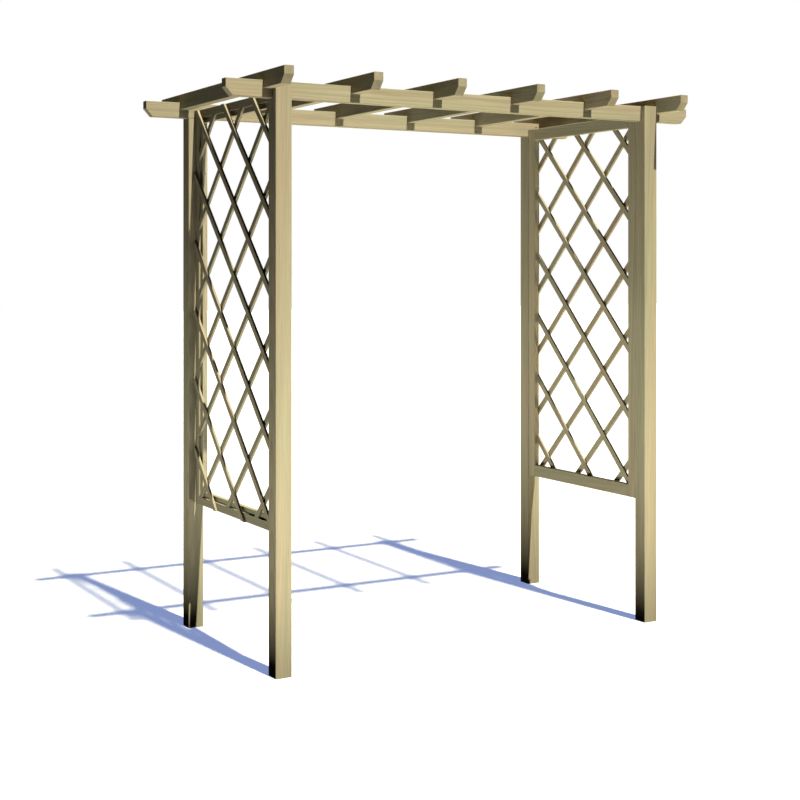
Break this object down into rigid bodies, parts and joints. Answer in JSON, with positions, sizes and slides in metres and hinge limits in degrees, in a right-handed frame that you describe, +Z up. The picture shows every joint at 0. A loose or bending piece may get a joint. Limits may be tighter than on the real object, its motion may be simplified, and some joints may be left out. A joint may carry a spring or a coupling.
{
  "type": "garden arch",
  "caption": "Free-standing flat-topped timber garden arch: notched posts carry two beams and a row of rafters, with diamond lattice panels closing both sides for climbing plants.",
  "frame": {"origin": "on the ground, in the middle of the four posts", "axes": "+X across the walkway to the right, +Y through the arch to the rear, +Z up"},
  "size_m": [2.029, 1.17, 2.1],
  "materials": {
    "post_timber": "planed, pressure treated, unpainted",
    "roof_timber": "planed, pressure treated, unpainted",
    "frame_timber": "planed, pressure treated, unpainted",
    "slat_timber": "planed, pressure treated, unpainted",
    "screw_steel": "zinc plated"
  },
  "bodies": {
    "root": {"front_left_post": "post_timber", "front_right_post": "post_timber", "front_beam": "roof_timber", "rear_left_post": "post_timber", "rear_right_post": "post_timber", "rear_beam": "roof_timber", "rafter_1": "roof_timber", "rafter_2": "roof_timber", "rafter_3": "roof_timber", "rafter_4": "roof_timber", "rafter_5": "roof_timber", "rafter_6": "roof_timber", "left_panel_front_stile": "frame_timber", "left_panel_rear_stile": "frame_timber", "left_panel_bottom_rail": "frame_timber", "left_panel_top_rail": "frame_timber", "left_panel_inner_slat_1": "slat_timber", "left_panel_inner_slat_2": "slat_timber", "left_panel_inner_slat_3": "slat_timber", "left_panel_inner_slat_4": "slat_timber", "left_panel_inner_slat_5": "slat_timber", "left_panel_inner_slat_6": "slat_timber", "left_panel_inner_slat_7": "slat_timber", "left_panel_inner_slat_8": "slat_timber", "left_panel_outer_slat_1": "slat_timber", "left_panel_outer_slat_2": "slat_timber", "left_panel_outer_slat_3": "slat_timber", "left_panel_outer_slat_4": "slat_timber", "left_panel_outer_slat_5": "slat_timber", "left_panel_outer_slat_6": "slat_timber", "left_panel_outer_slat_7": "slat_timber", "left_panel_outer_slat_8": "slat_timber", "right_panel_front_stile": "frame_timber", "right_panel_rear_stile": "frame_timber", "right_panel_bottom_rail": "frame_timber", "right_panel_top_rail": "frame_timber", "right_panel_inner_slat_1": "slat_timber", "right_panel_inner_slat_2": "slat_timber", "right_panel_inner_slat_3": "slat_timber", "right_panel_inner_slat_4": "slat_timber", "right_panel_inner_slat_5": "slat_timber", "right_panel_inner_slat_6": "slat_timber", "right_panel_inner_slat_7": "slat_timber", "right_panel_inner_slat_8": "slat_timber", "right_panel_outer_slat_1": "slat_timber", "right_panel_outer_slat_2": "slat_timber", "right_panel_outer_slat_3": "slat_timber", "right_panel_outer_slat_4": "slat_timber", "right_panel_outer_slat_5": "slat_timber", "right_panel_outer_slat_6": "slat_timber", "right_panel_outer_slat_7": "slat_timber", "right_panel_outer_slat_8": "slat_timber", "beam_screws": "screw_steel", "left_panel_screws": "screw_steel", "right_panel_screws": "screw_steel"}
  },
  "joints": []
}
